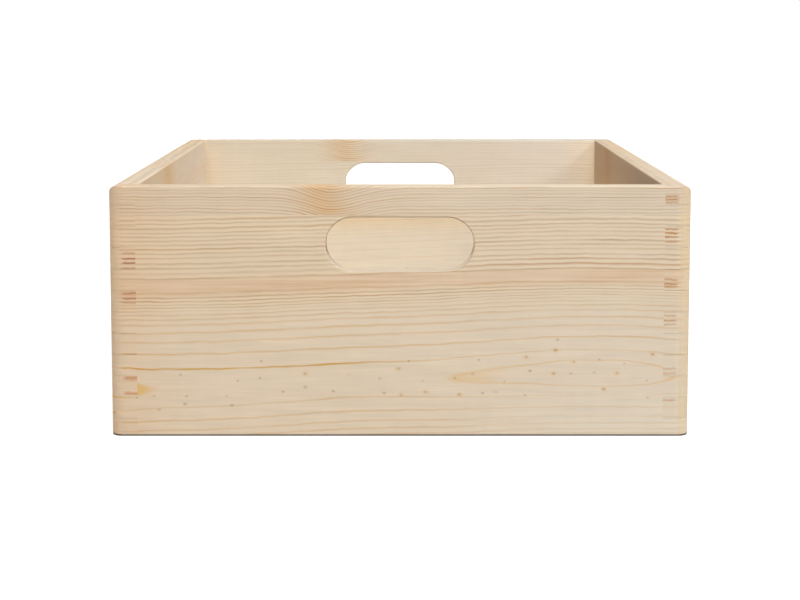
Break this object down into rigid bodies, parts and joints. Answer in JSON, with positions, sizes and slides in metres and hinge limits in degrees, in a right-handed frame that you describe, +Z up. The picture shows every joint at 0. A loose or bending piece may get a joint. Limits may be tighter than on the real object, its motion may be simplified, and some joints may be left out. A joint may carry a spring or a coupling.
{
  "type": "storage crate",
  "caption": "Open-topped rectangular pine storage crate with box-jointed corners, a stadium-shaped hand hole in each end board and a thin base panel held in a groove.",
  "frame": {"origin": "on the floor, under the middle of the crate", "axes": "+Z up, +Y from the front hand hole to the back one, +X across the end boards to the right as seen from the front"},
  "size_m": [0.3, 0.4, 0.13],
  "materials": {
    "pine": "bare, sanded",
    "plywood": "bare, sanded"
  },
  "bodies": {
    "root": {"front_top_stave": "pine", "front_lower_stave": "pine", "back_top_stave": "pine", "back_lower_stave": "pine", "left_top_stave": "pine", "left_lower_stave": "pine", "right_top_stave": "pine", "right_lower_stave": "pine", "base_panel": "plywood"}
  },
  "joints": []
}
